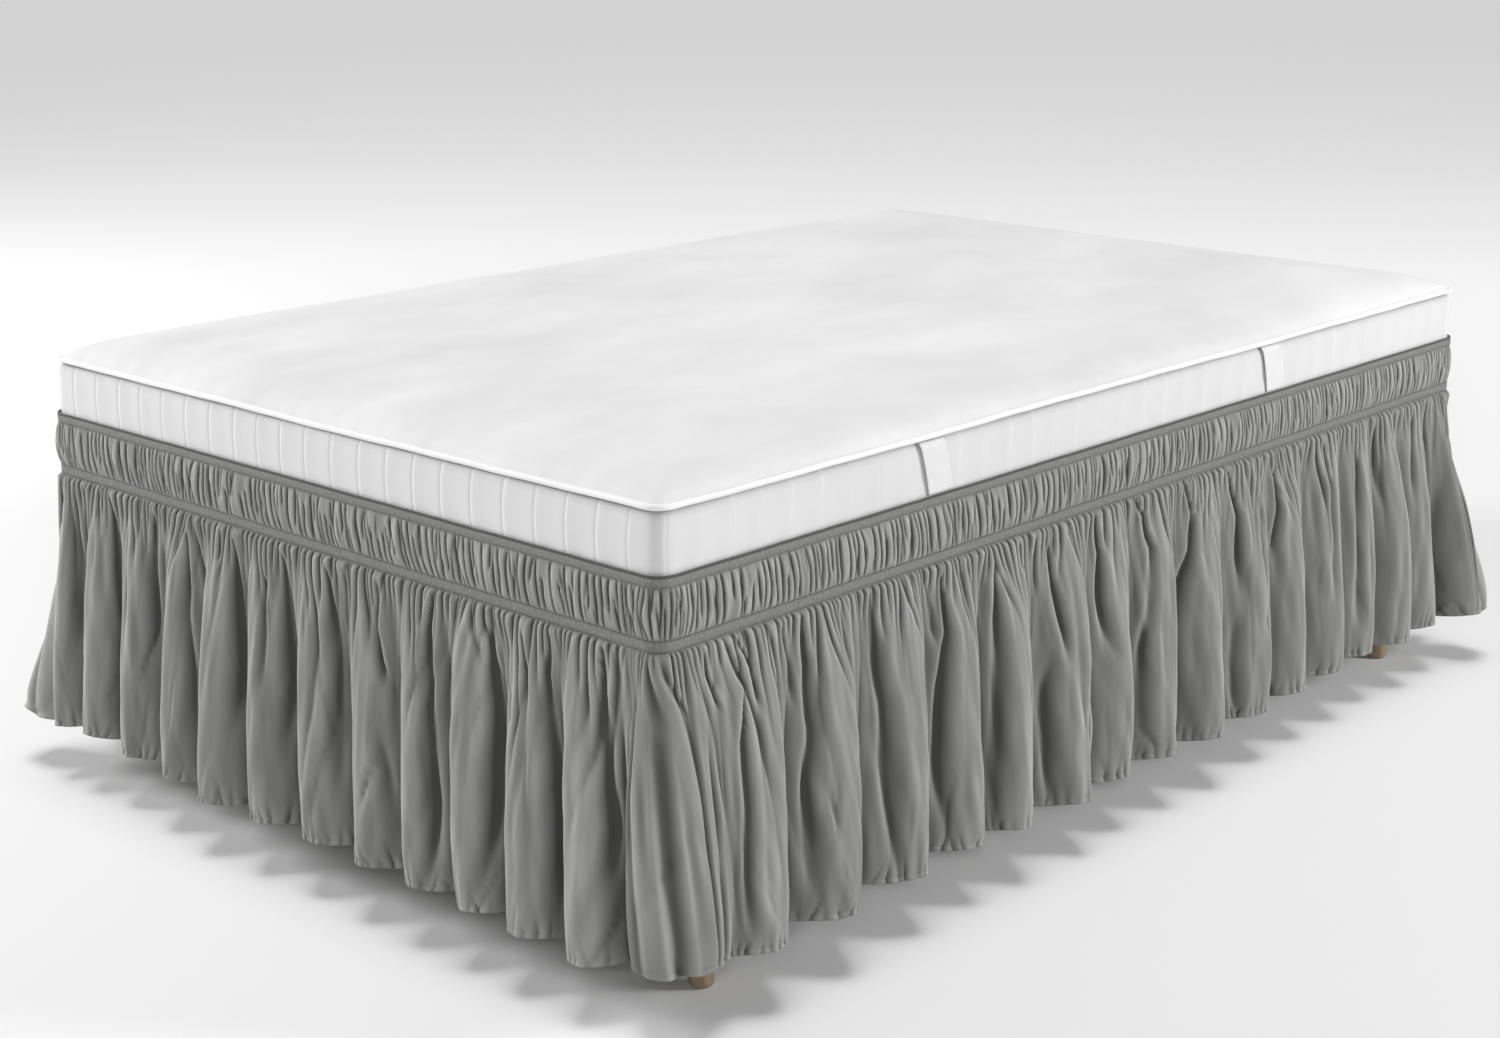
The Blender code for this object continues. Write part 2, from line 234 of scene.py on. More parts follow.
def clothMaterial(name, tone, valley, weave, streak, rough, sheen, deep=None):
    # weave: threads to the metre; the real ones, 0.1 to 0.3 mm apart, are too fine to show and
    # are drawn 1 to 2 mm apart; streak: patches of tone to the metre, along and down the cloth
    # deep: the tone of the painted shade that the painted shading mixes into the colour
    material, tree, shader = newMaterial(name, rough, weaving["specular"])
    place = addNode(tree, "UVMap", uv_map="metres")
    drift = addNode(tree, "Mapping", {"Vector": place.outputs["UV"], "Scale": streak})
    _, shown = mottled(tree, drift.outputs["Vector"], 4.0, 0.6, valley, tone)
    threads = addNode(tree, "TexNoise", {"Vector": place.outputs["UV"], "Scale": weave,
                                         "Detail": 2.0})
    if deep:  # painted shade: the colour goes towards the deep tone in the hollows, and a painted highlight pales it on the ridges
        paintedShading = addNode(tree, "Attribute", attribute_name="paintedShading")
        share = addNode(tree, "MapRange", {"Value": paintedShading.outputs["Fac"],
                                           "From Min": weaving["paintedPalest"],
                                           "From Max": weaving["paintedDarkest"]})
        mixed = addNode(tree, "MixRGB", {"Fac": share.outputs["Result"], "Color1": shown,
                                         "Color2": linear(deep)})
        shown = mixed.outputs["Color"]
    finish(tree, shader, shown, threads.outputs["Fac"], weaving["strength"], weaving["height"])
    shader.inputs["Sheen Weight"].default_value = sheen
    shader.inputs["Sheen Roughness"].default_value = weaving["sheenRough"]
    return material


# filament cloth with a raised face, so it is matt, keeps no highlight, and its edges turn pale
# where the short pile stands against the light
# its deep tone is a painted shade, laid into the hollows between gathers, creases and folds
skirtCloth = clothMaterial("brushed grey microfibre", "#a2a2a1", "#848483", weave=900,
                           streak=(34, 4.5, 1), rough=0.9, sheen=0.3, deep="#464645")
# cloth knitted round rubber threads, so it is matt with a close cross grain
# its deep tone is painted shade at its rounded edges, its turned-over strip and its rib grooves
elasticCloth = clothMaterial("knitted grey elastic", "#848483", "#686867", weave=700,
                             streak=(330, 260, 1), rough=0.85, sheen=0.05, deep="#484847")
# soft cotton knits, plain and matt, with hardly any change of tone
ticking = clothMaterial("white knitted ticking", "#d5d5d5", "#c5c5c5", weave=500,
                        streak=(4, 2.2, 1), rough=0.85, sheen=0.1)
# its deep tone is painted shade, beside its channel lines and under the piping
borderTicking = clothMaterial("pale border ticking", "#dadada", "#d7d7d7", weave=500,
                              streak=(5, 5, 1), rough=0.85, sheen=0.1, deep="#7c7c7c")
# closely woven tapes, a little smoother than the ticking
pipingCloth = clothMaterial("white bias piping", "#dedede", "#d8d8d8", weave=500,
                            streak=(5, 5, 1), rough=0.7, sheen=0.1)
webbing = clothMaterial("white woven webbing", "#d2d2d2", "#cacaca", weave=600,
                        streak=(20, 20, 1), rough=0.7, sheen=0.1)
baseCloth = clothMaterial("pale base cloth", "#c6c4c0", "#bebcb8", weave=500,
                          streak=(5, 5, 1), rough=0.9, sheen=0.1)


# skirt
skirt = {
    "width": 1.22, "length": 1.9, "corner": 0.022,  # the mattress's sides, and the seat's corner
    "seat": 0.0024,  # how far the cloth's outer face lies off the mattress under an elastic
    "top": 0.5485, "bandHeight": 0.014, "margin": 0.0008, "lowerBand": 0.465,
    "hem": 0.0755, "lift": 0.5, "roundness": 1.25,
    "fullness": 1.6,  # how much longer the flat cloth is than the way round
}
# in millimetres but for bloom; crest: where the fold's crest is at the hem, along the side;
# reach: how far it stands out there; dip: how far the valley after it stands out; bloom: how
# early it opens; rise: how far its hem sits above the even height; lean: how far along the side
# its top lies from its hem
footFolds = (
    (26, 47, 8, 1.5, 7, 0), (104, 45, 7, 1.7, 13, 2), (194, 41, 8, 1.8, 3, 14),
    (312, 52, 16, 1.5, 3, 0), (415, 65, 12, 1.6, -3, -19), (519, 58, 9, 1.9, -2, -24),
    (630, 53, 7, 1.6, 0, -32), (741, 54, 8, 1.4, 1, -35), (848, 61, 10, 1.7, 3, -45),
    (942, 63, 12, 1.8, 3, -42), (1032, 63, 12, 1.5, 1, -26), (1147, 66, 12, 1.6, -2, -50),
    (1220, 63, 16, 1.4, 6, -34),
)
sideFolds = (
    (109, 76, 12, 1.7, 0, 34), (241, 76, 9, 1.5, -1, 45), (391, 67, 7, 1.8, 0, 29),
    (514, 61, 15, 1.6, 2, 28), (607, 70, 16, 1.9, -1, 23), (748, 73, 19, 1.5, -4, 38),
    (852, 62, 10, 1.7, -1, 28), (966, 66, 18, 1.4, 0, 42), (1076, 75, 17, 1.6, -3, 32),
    (1222, 63, 12, 1.8, -5, 34), (1342, 62, 10, 1.5, -2, 12), (1457, 58, 13, 1.7, 1, 18),
    (1571, 51, 9, 1.6, 2, 8), (1673, 66, 14, 1.8, -3, -10), (1776, 56, 11, 1.5, 1, -24),
    (1884, 90, 10, 1.4, -2, -36),
)


def foldTable():
    # both halves of the bed, in metres: the second is the first turned round
    inMetres = np.array([1000, 1000, 1000, 1, 1000, 1000])
    foot, side = footFolds / inMetres, sideFolds / inMetres
    side[:, 0] += footRun
    foot[-1, [2, 5]] = 0.08, -0.008  # the corner hangs plumb, its valley flat
    half = np.concatenate((foot, side))
    turned = half.copy()
    turned[:, 0] += around / 2
    return np.concatenate((half, turned))


around = outlineLength(skirt)
footRun = skirt["width"] - 2 * skirt["corner"] + skirt["corner"] * math.pi / 2
folds = foldTable()
crestSoft = random.uniform(0.16, 0.42, len(folds))  # how round each fold's crest is


def foldsAt(hem):
    # the folds round a place on the hem: the share of the crest falls from 1 to 0 over the half
    # fold, as the mean of half a cosine and of a straight flank with a rounded crest, and what
    # the fold carries runs straight to the mean of the two at the valley between them
    crest, reach, dip, bloom, rise, lean = folds.T
    count = len(crest)
    before = (np.concatenate(([crest[-1] - around], crest[:-1])) + crest) / 2
    place = np.mod(hem - before[0], around) + before[0]
    here = np.clip(np.searchsorted(before, place, side="right") - 1, 0, count - 1)
    after = np.append(before[1:], before[0] + around)[here]
    rising = place < crest[here]
    beside = np.where(rising, here - 1, here + 1) % count
    halfWidth = np.where(rising, crest[here] - before[here], after - crest[here])
    away = np.abs(place - crest[here]) / halfWidth
    flank = 1 - hyperbola(away, 1, crestSoft[here])
    share = 0.5 * flank + 0.25 * (1 + np.cos(np.pi * away ** skirt["roundness"]))
    blended = [part[here] + (part[beside] - part[here]) * away / 2 for part in (bloom, rise, lean)]
    signed = np.where(rising, -away, away)  # -1 and 1 in the valleys, 0 on the crest
    return reach[here], np.where(rising, dip[beside], dip[here]), share, signed, *blended


def wrapped(difference):
    # the shortest way round from one place to another
    return np.mod(difference + around / 2, around) - around / 2


def fromCorner(place):
    # how far each place is from the middle of the nearest corner
    corners = np.array([0, footRun, around / 2, around / 2 + footRun])
    return np.abs(wrapped(place[:, None] - corners)).min(axis=1)


def crowdedPlaces(start, end, weight, reach):
    # places along the side, and a measure of the way walked that counts each step near a
    # corner, where folds fan out, as many times over as the weight says
    way = np.linspace(start, end, fineSteps)
    counted = 1 + (weight - 1) * ease((reach - fromCorner(way)) / (0.4 * reach))
    total = np.cumsum((counted[1:] + counted[:-1]) / 2) * (way[1] - way[0])
    return np.concatenate(([0], total)), way


def nearness(distance, halfWidth, soft):
    # 0 in the middle of a groove and 1 from its edge outwards: a sine over a hyperbola
    return np.sin(np.minimum(hyperbola(distance, halfWidth, soft), 1) * math.pi / 2)


def softFloor(offset, soft):
    # keeps the offset above nought, and rounds it off there instead of cutting it flat
    return (offset + np.sqrt(offset ** 2 + soft ** 2)) / 2


def groovesAt(place, centres, depths, widths, sharp, soft=0.0009):
    # how much height is left between grooves: each takes away its depth times one less a small
    # power of its nearness, and where they overlap the shares that are left multiply; only the
    # six grooves on either side of a place can reach it
    order = np.argsort(np.mod(centres, around))
    centres, depths, widths = np.mod(centres, around)[order], depths[order], widths[order]
    here = np.searchsorted(centres, np.mod(place, around))
    left = np.ones_like(place)
    for step in range(-6, 6):
        k = (here + step) % len(centres)
        near = nearness(wrapped(place - centres[k]), widths[k], soft)
        left = left * (1 - depths[k] * (1 - near ** sharp))
    return left


def drawGrooves(sizes, slant=0):
    # grooves anywhere round the bed, each with a slant near the given one
    count = int(around / sizes["pitch"])
    return {"place": random.uniform(0, around, count),
            "slant": slant + random.normal(0, sizes["slantSpread"], count),
            **drawn(sizes["ranges"], count)}


def slantedGrooves(place, grooves, run, alive, sharp):
    return groovesAt(place, grooves["place"] + grooves["slant"] * run,
                     grooves["depth"] * alive, grooves["width"], sharp)


gather = {"pitch": 0.0112, "spread": 0.0038, "closest": 0.5, "widest": 1.8,
          "cornerWeight": 1.9, "cornerReach": 0.075}


def gatherPlaces():
    # the gathers' places on the elastics, closer together round the corners
    pitch = gather["pitch"]
    total, way = crowdedPlaces(0, around, gather["cornerWeight"], gather["cornerReach"])
    steps = random.normal(pitch, gather["spread"], int(total[-1] / pitch))
    steps = np.clip(steps, gather["closest"] * pitch, gather["widest"] * pitch)
    return np.interp(np.cumsum(steps) * total[-1] / steps.sum(), total, way)


# the heading, between the elastics
heading = {
    "columnPitch": 0.00128, "cornerWeight": 1.8, "cornerReach": 0.03,
    "rows": 15, "crowding": 0.11, "edgeRow": 0.002, "height": 0.0064, "uneven": 0.0012,
    "pillow": 0.5, "paintedShading": 1.7, "slant": 0.006, "slantSpread": 0.004, "wobble": 0.001,
    "sharp": 0.7, "partShare": 0.3, "partReach": (0.35, 0.75), "partFade": 0.12,
    "depth": (0.75, 1.0), "width": (0.003, 0.0068), "narrowReach": 0.06, "narrow": 0.7,
    "short": {"pitch": 0.012, "slantSpread": 0.003, "sharp": 0.8, "ranges": {
        "middle": (0.1, 0.9), "reach": (0.2, 0.5), "depth": (0.25, 0.7),
        "width": (0.003, 0.0045)}},
}


def makeHeading(places):
    # each row's offset is the seat plus a pillow profile, the root of half a sine from elastic
    # to elastic, times the height that the grooves leave; grooves slant and wander, some run
    # only part of the way from one elastic, and a finer set of short ones lies across them
    topEdge = skirt["top"] - skirt["bandHeight"] - 2 * skirt["margin"]
    lowEdge = skirt["lowerBand"] + skirt["bandHeight"] / 2 + skirt["margin"]
    short = drawGrooves(heading["short"], heading["slant"])
    count = len(places)
    slant = heading["slant"] + waves(places, (0.9, 0.31, 0.13),
                                     (1.0, 0.8, 0.6)) * heading["slantSpread"]
    wobble = random.normal(0, heading["wobble"], count)
    phase = random.uniform(*anyPhase, count)
    partly = random.random(count) < heading["partShare"]
    fromTop = random.random(count) < 0.5
    reach = random.uniform(*heading["partReach"], count)
    depth = random.uniform(*heading["depth"], count)
    width = random.uniform(*heading["width"], count) * np.where(
        fromCorner(places) < heading["narrowReach"], heading["narrow"], 1)
    total, way = crowdedPlaces(0, around, heading["cornerWeight"], heading["cornerReach"])
    columns = int(total[-1] / heading["columnPitch"])
    distance = np.interp(np.arange(columns) * total[-1] / columns, total, way)
    tall = heading["height"] + waves(distance, (0.047, 0.031, 0.019, 0.27),
                                     (0.4, 0.4, 0.3, 0.5)) * heading["uneven"]
    point, outward = outlineAt(distance, skirt)
    levels = [(skirt["top"], 0.0), (topEdge + heading["edgeRow"], 0.0)]
    for part in np.arange(1, heading["rows"] + 1) / (heading["rows"] + 1):
        part = part - heading["crowding"] * math.sin(2 * math.pi * part)  # to the elastics
        levels.append((topEdge + (lowEdge - topEdge) * part, part))
    levels += [(lowEdge - heading["edgeRow"], 1.0), (skirt["lowerBand"], 1.0)]
    fade = heading["partFade"]
    rows, paintedShading = [], []
    for height, part in levels:
        pillow = max(math.sin(math.pi * part), 0) ** heading["pillow"]
        moved = places + slant * (part - 0.5) + wobble * np.sin(2 * math.pi * part + phase)
        run = np.where(fromTop, part, 1 - part)
        alive = np.where(partly, 1 - ease((run - reach + fade) / (2 * fade)), 1.0)
        left = groovesAt(distance, moved, depth * alive, width, heading["sharp"])
        alive = ease(1.3 - np.abs(part - short["middle"]) / short["reach"])
        left = left * slantedGrooves(distance, short, part - 0.5, alive, heading["short"]["sharp"])
        offset = skirt["seat"] + pillow * tall * left
        rows.append(rowOf(point, outward, offset, height))
        # painted shade in the grooves between the gathers and a painted highlight on their tops
        paintedShading.append(paintedShadingOf(offset, heading["columnPitch"], "wrap", heading["paintedShading"]))
    points = np.array(rows)
    uv = patternAt(np.append(distance, around) * skirt["fullness"], points[:, 0, 2])
    piece = surface("skirt_heading", points, uv, skirtCloth, "skirt_cloth", paintedShading)
    print("heading made:", count, "gathers")


# the drop, below the lower elastic
drop = {
    "columnPitch": {"foot": 0.0013, "right": 0.0015, "head": 0.0018, "left": 0.0018},
    "cornerWeight": 3.6, "cornerReach": 0.024,
    # how far below the elastic each row lies
    "depths": (-0.0078, 0, 0.0012, 0.003, 0.0055, 0.009, 0.013, 0.0175, 0.022, 0.027, 0.032,
               0.037, 0.0425, 0.048, 0.054, 0.06, 0.066, 0.0725, 0.079, 0.086, 0.0935, 0.102,
               0.1125, 0.1235, 0.135, 0.147, 0.1595, 0.1725, 0.186, 0.2, 0.214, 0.228, 0.242,
               0.256, 0.27, 0.284, 0.298, 0.311, 0.323, 0.334, 0.344, 0.353, 0.361, 0.3676,
               0.372, 0.3738, 0.3746, 0.3756, 0.3775, 0.38, 0.3814),
    "dipShare": 0.6, "swell": (0.001, 0.005), "sway": 0.35, "wanderShare": 0.3,
    "fanReach": 0.02, "streaksOver": 0.05, "ripplesOver": 0.2,
    "floorSoft": 0.003, "floorOver": 0.012,
    # the drop's painted shading: an even share of painted shade, then its strength in hollows and
    # on ridges, and its loss over this depth
    "shade": 0.09, "paintedShading": (1.2, 0.4, 0.09),  # its strength, and its loss over this depth
    # count, then wavelengths along the side and down the cloth, and the strength
    "wander": (9, (0.06, 0.4), (0.25, 0.8), (0.0006, 0.0016)),
    "streaks": (22, (0.013, 0.036), (0.07, 0.4), (0.0001, 0.0003)),
    "ripples": (7, (0.03, 0.075), (0.4, 1.5), (0.0004, 0.001)),
    # the gathers drawn up under the elastic; all that ends in Over is a depth below it
    "gathers": {
        "height": (0.0076, 0.0135), "growOver": 0.1, "riseOver": 0.0045, "risePower": 0.65,
        "width": (0.007, 0.016), "widenOver": 0.2, "narrowReach": 0.02, "narrow": 0.55,
        "sharp": 0.8, "depth": (0.7, 1.0), "fade": (0.032, 0.095), "longShare": 0.17,
        "longFade": (0.09, 0.21), "fadePower": 2.2, "pull": 0.5, "follow": 0.6, "clear": 0.45,
        "driftOver": 0.13, "between": (0.02, 0.15),  # the depths a crease's drift is read at
        "inValley": 0.25, "valleyOver": 0.05, "sink": 0.5, "sinkOver": 0.06},
    "short": {"pitch": 0.016, "slantSpread": 0.08, "sharp": 0.8, "ranges": {
        "life": (0.012, 0.045), "depth": (0.2, 0.7), "width": (0.003, 0.005)}},
    "small": {"pitch": 0.01, "spread": 0.01, "height": 0.0024, "sharp": 0.7, "power": 0.7,
              "comesIn": 0.04, "depthPower": 1.5, "ranges": {
                  "start": (0.01, 0.33), "length": (0.04, 0.16), "slant": (-0.24, 0.24),
                  "depth": (0.15, 1), "width": (0.005, 0.009)}},
    "hem": {"height": 0.007, "thick": 0.0001, "step": 0.0008, "pinch": 0.0009,
            "pinchWidth": 0.0018, "turnUnder": 0.02, "smooth": 8, "rowHeight": 0.003,
            # behind which outer row, how far inwards and how far up
            "rows": ((-1, 0.0006, -0.0005), (-1, 0.0014, 0), (-3, 0.0018, 0), (-7, 0.0018, 0))},
    "ticks": {"spacing": (0.005, 0.014), "pitch": 0.0095, "reach": 0.05, "height": 0.0042,
              "above": 0.005, "sharp": 0.9, "depth": (0.2, 1), "width": (0.0025, 0.0055),
              "slantSpread": 0.15, "life": (0.006, 0.024)},
}
# creases listed on the foot and the right side, in millimetres, each with its depth, half its
# width, and a line of places: how far along the side, and how far below the elastic
footCreases = (
    (8, 12, ((18, 20), (14, 140), (12, 280))), (10, 13, ((46, 10), (51, 110), (46, 310))),
    (7, 12, ((72, 0), (70, 100), (66, 200))),
    (18, 16, ((138, 10), (146, 100), (150, 200), (140, 300), (136, 400))),
    (15, 14, ((244, 10), (236, 80), (237, 160), (232, 260))),
    (14, 14, ((325, 20), (329, 80), (328, 140), (337, 220), (341, 400))),
    (6, 8, ((346, 50), (356, 90), (372, 140))), (8, 8, ((403, 0), (404, 60))),
    (18, 16, ((428, 10), (434, 90), (440, 190), (436, 320))),
    (8, 10, ((505, 40), (516, 130), (520, 230))),
    (17, 16, ((532, 10), (540, 70), (546, 150), (545, 300))),
    (15, 17, ((626, 10), (636, 80), (643, 150), (650, 220), (655, 340))),
    (6, 8, ((662, 0), (664, 80), (690, 160))),
    (17, 11, ((730, 10), (729, 70), (737, 110), (756, 160))),
    (9, 12, ((742, 190), (757, 260), (768, 340))), (7, 7, ((749, 220), (744, 250), (735, 310))),
    (18, 14, ((835, 0), (828, 50), (832, 100), (844, 190), (860, 330), (863, 420))),
    (7, 9, ((850, 200), (859, 270), (858, 340))),
    (19, 17, ((938, 20), (945, 80), (953, 150), (955, 240), (958, 420))),
    (7, 10, ((963, 10), (980, 80), (1002, 150))),
    (9, 12, ((996, 10), (1016, 80), (1024, 160), (1030, 240))),
    (15, 14, ((1043, 10), (1038, 60), (1043, 110), (1056, 180), (1064, 280), (1072, 420))),
    (6, 12, ((1106, 30), (1120, 90), (1133, 190))),
    (17, 14, ((1131, 0), (1133, 60), (1142, 140), (1156, 220), (1163, 330))),
    (10, 8, ((1196, 0), (1202, 30), (1212, 90))),
)
sideCreases = (
    (9, 5, ((0, 0), (6, 30), (22, 80))), (10, 8, ((58, 0), (62, 40), (78, 90))),
    (12, 9, ((92, 0), (106, 40), (118, 70))),
    (13, 12, ((114, 60), (101, 120), (97, 180), (89, 280), (86, 420))),
    (10, 8, ((112, 0), (128, 40), (133, 100))), (8, 10, ((168, 0), (178, 60), (176, 140))),
    (8, 9, ((192, 10), (208, 60), (217, 130))),
    (19, 15, ((228, 0), (236, 70), (234, 150), (221, 220), (213, 420))),
    (6, 7, ((233, 190), (238, 270))), (7, 9, ((296, 0), (300, 60), (312, 120))),
    (18, 16, ((357, 0), (366, 70), (373, 150), (368, 220), (362, 420))),
    (8, 9, ((464, 10), (484, 60), (490, 110))),
    (20, 15, ((499, 10), (508, 90), (495, 160), (487, 250), (483, 420))),
    (7, 10, ((548, 0), (556, 60), (560, 120))),
    (17, 15, ((610, 20), (605, 110), (600, 190), (594, 280), (584, 420))),
    (12, 7, ((664, 0), (668, 50))), (8, 8, ((703, 0), (708, 100))),
    (16, 12, ((732, 20), (736, 80), (744, 150), (739, 200))),
    (12, 16, ((724, 160), (712, 250), (712, 340), (718, 420))),
    (16, 12, ((840, 0), (851, 60), (846, 120), (848, 170), (858, 220))),
    (13, 14, ((797, 150), (782, 210), (769, 280), (765, 420))),
    (12, 13, ((940, 0), (962, 30), (975, 80), (966, 150), (950, 220), (940, 360))),
    (6, 7, ((936, 320), (952, 370))), (7, 9, ((1020, 0), (1026, 60), (1036, 130))),
    (17, 14, ((1068, 0), (1083, 50), (1078, 100), (1058, 150), (1046, 220), (1040, 380))),
    (16, 12, ((1180, 0), (1198, 40), (1210, 80), (1206, 140), (1205, 210))),
    (12, 15, ((1193, 210), (1187, 300), (1189, 420))),
    (11, 11, ((1318, 20), (1326, 90), (1319, 130), (1301, 180))),
    (12, 11, ((1250, 130), (1249, 200), (1238, 240), (1244, 280))),
    (8, 8, ((1271, 260), (1287, 310), (1310, 390))),
    (11, 11, ((1390, 0), (1404, 60), (1396, 140), (1390, 240))),
    (14, 14, ((1458, 10), (1470, 80), (1468, 170), (1452, 300))),
    (8, 9, ((1500, 0), (1508, 70), (1518, 120))),
    (15, 14, ((1562, 0), (1566, 80), (1560, 200), (1550, 420))),
    (9, 10, ((1628, 10), (1634, 80), (1640, 160))),
    (16, 14, ((1690, 0), (1694, 70), (1700, 160), (1704, 340))),
    (8, 10, ((1752, 10), (1744, 80), (1740, 180))),
    (14, 14, ((1800, 0), (1806, 80), (1812, 200), (1816, 360))),
    (10, 10, ((1862, 10), (1858, 80), (1862, 200))),
)
crease = {
    "depthShare": 0.85, "above": 0.004, "comesIn": 0.035, "lowStart": 0.1, "lowComesIn": 0.07,
    "fadeShare": 0.4, "narrow": 0.0055, "widenOver": 0.12, "least": 0.0002, "sharp": 0.9,
    "soft": (0.0018, 0.006, 0.14),  # how round its bottom is, and what is added by a depth
    "cornerIn": 0.09, "cornerOut": 0.12,
}
# soft folds that fan out round the corner, each with its place on the hem, its depth, half its
# width, and where it starts and ends below the elastic
cornerCreases = (
    (1.1965, 0.004, 0.003, 0.06, 0.3), (1.203, 0.007, 0.004, 0.03, 0.48),
    (1.21, 0.003, 0.0025, 0.1, 0.3), (1.217, 0.013, 0.0046, 0.05, 0.6),
    (1.2235, 0.004, 0.0028, 0.14, 0.36), (1.233, 0.007, 0.006, 0.04, 0.5),
    (1.252, 0.008, 0.009, 0.08, 0.45), (3.088, 0.007, 0.0032, 0.05, 0.4),
    (3.099, 0.012, 0.004, 0.03, 0.6), (3.1085, 0.008, 0.0034, 0.1, 0.5),
)


def handCreases(down):
    # where the creases run at this depth, how deep they are there and how wide; one that starts
    # well down the cloth comes in wider and more slowly, each fades over the lower part of its
    # length, and the second half of the bed repeats the first turned round
    places, cuts, widths = [], [], []
    for start, group in ((0, footCreases), (footRun, sideCreases)):
        for deepest, widest, line in group:
            deep, wide = deepest / 1000, widest / 1000
            along, below = np.array(line).T / 1000
            startsLow = below[0] > crease["lowStart"]
            comesIn = crease["lowComesIn" if startsLow else "comesIn"]
            fadeOver = crease["fadeShare"] * (below[-1] - below[0])
            narrow = wide if startsLow else min(wide, crease["narrow"])
            places.append(start + np.interp(down, below, along))
            cuts.append(crease["depthShare"] * deep
                        * ease((down - below[0] + crease["above"]) / comesIn)
                        * ease((below[-1] - down) / fadeOver))
            widths.append(blend(narrow, wide, (down - below[0]) / crease["widenOver"]))
    places = np.array(places)
    return np.append(places, places + around / 2), np.tile(cuts, 2), np.tile(widths, 2)


def gatherGrooves(places):
    # the gathers' grooves below the elastic, but for those on a crease: where each starts, how
    # far it drifts towards the nearest crease and on with it, where it fades, and its depth
    gathers = drop["gathers"]
    (top, cut, _), (low, _, _) = map(handCreases, gathers["between"])
    begun = cut > 0.001
    top, low = top[begun], low[begun]
    gap = np.abs(wrapped(places[:, None] - top))
    clear = gap.min(axis=1) > gathers["clear"] * gather["pitch"]
    plain, nearest = places[clear], gap[clear].argmin(axis=1)
    count = len(plain)
    drift = wrapped(top[nearest] - plain) * gathers["pull"] + (
        low - top)[nearest] * gathers["follow"]
    life = np.where(random.random(count) < gathers["longShare"],
                    random.uniform(*gathers["longFade"], count),
                    random.uniform(*gathers["fade"], count))
    depth = random.uniform(*gathers["depth"], count)
    return {"place": plain, "drift": drift, "life": life, "depth": depth}


def drawWaves(count, along, below, strength, bothWays=True):
    # slanting waves: wavelengths along the side and down the cloth, phase and strength
    return [(random.uniform(*along),
             (random.choice((-1, 1)) if bothWays else 1) * random.uniform(*below),
             random.uniform(*anyPhase), random.uniform(*strength)) for _ in range(count)]


def wavesAt(slanting, place, down):
    return sum(strength * np.sin(2 * np.pi * (place / along + down / below) + phase)
               for along, below, phase, strength in slanting)


def drawDetails(places):
    # every uneven detail of the drop, for the whole way round
    detail = {"gathers": gatherGrooves(places),
              "swell": random.uniform(*drop["swell"], len(folds)),
              "wander": drawWaves(*drop["wander"], bothWays=False),
              "streaks": drawWaves(*drop["streaks"]), "ripples": drawWaves(*drop["ripples"])}
    ticks, small = drop["ticks"], drop["small"]
    place = np.cumsum(random.uniform(*ticks["spacing"], int(around / ticks["pitch"])))
    count = len(place)
    detail["ticks"] = {"place": place * around / place[-1],
                       "depth": random.uniform(*ticks["depth"], count),
                       "width": random.uniform(*ticks["width"], count),
                       "slant": random.normal(0, ticks["slantSpread"], count),
                       "life": random.uniform(*ticks["life"], count)}
    detail["short"] = drawGrooves(drop["short"])
    count = int(around / small["pitch"])
    even = np.linspace(0, around, count, endpoint=False)
    detail["small"] = {"place": even + random.normal(0, small["spread"], count),
                       **drawn(small["ranges"], count)}
    detail["small"]["depth"] **= small["depthPower"]
    return detail


def gathered(offset, place, share, down, detail):
    # adds the gathers' height, less what their grooves take away; it grows downwards on the
    # crests and goes flat in the valleys, and the fold under it sinks by half of it
    gathers, groove, short = drop["gathers"], detail["gathers"], detail["short"]
    moved = groove["place"] + groove["drift"] * ease(down / gathers["driftOver"])
    alive = groove["depth"] * np.exp(-(down / groove["life"]) ** gathers["fadePower"])
    width = blend(*gathers["width"], down / gathers["widenOver"]) * np.where(
        fromCorner(groove["place"]) < gathers["narrowReach"], gathers["narrow"], 1)
    inValley = blend(1, gathers["inValley"], down / gathers["valleyOver"])
    tall = blend(*gathers["height"], down / gathers["growOver"]) * min(
        down / gathers["riseOver"], 1) ** gathers["risePower"] * (
        inValley + (1 - inValley) * share)
    left = groovesAt(place, moved, alive, width, gathers["sharp"]) * slantedGrooves(
        place, short, down, bell(down, short["life"]), drop["short"]["sharp"])
    sunk = gathers["sink"] * tall * ease(down / gathers["sinkOver"])
    return np.maximum(offset - sunk, 0) + tall * left


def creased(offset, place, hem, down):
    # each crease cuts a trough, sharp under the elastic and softer lower down; the corner's
    # folds are cut as the square of a cosine
    least, more, over = crease["soft"]
    soft = least + more * ease(down / over)
    for middle, cut, half in zip(*handCreases(down)):
        if cut > crease["least"]:
            near = nearness(wrapped(place - middle), half, soft)
            offset = offset - cut * (1 - near ** crease["sharp"])
    for middle, deepest, half, begins, ends in cornerCreases:
        cut = deepest * ease((down - begins) / crease["cornerIn"]) * ease(
            (ends - down) / crease["cornerOut"])
        for turnedRound in (0, around / 2):
            near = np.minimum(np.abs(wrapped(hem - middle - turnedRound)) / half, 1)
            offset = offset - cut * np.cos(near * math.pi / 2) ** 2
    return offset


def smallCreased(offset, place, down, small):
    # small slanting creases, each of them alive over its own length
    sizes = drop["small"]
    run = (down - small["start"]) / small["length"]
    alive = np.sin(np.pi * np.clip(run, 0, 1)) ** sizes["power"]
    left = slantedGrooves(place, small, down - small["start"], alive, sizes["sharp"])
    cut = sizes["height"] * (1 - left) * ease(down / sizes["comesIn"])
    return softFloor(offset - cut, drop["floorSoft"] * ease(down / drop["floorOver"]))


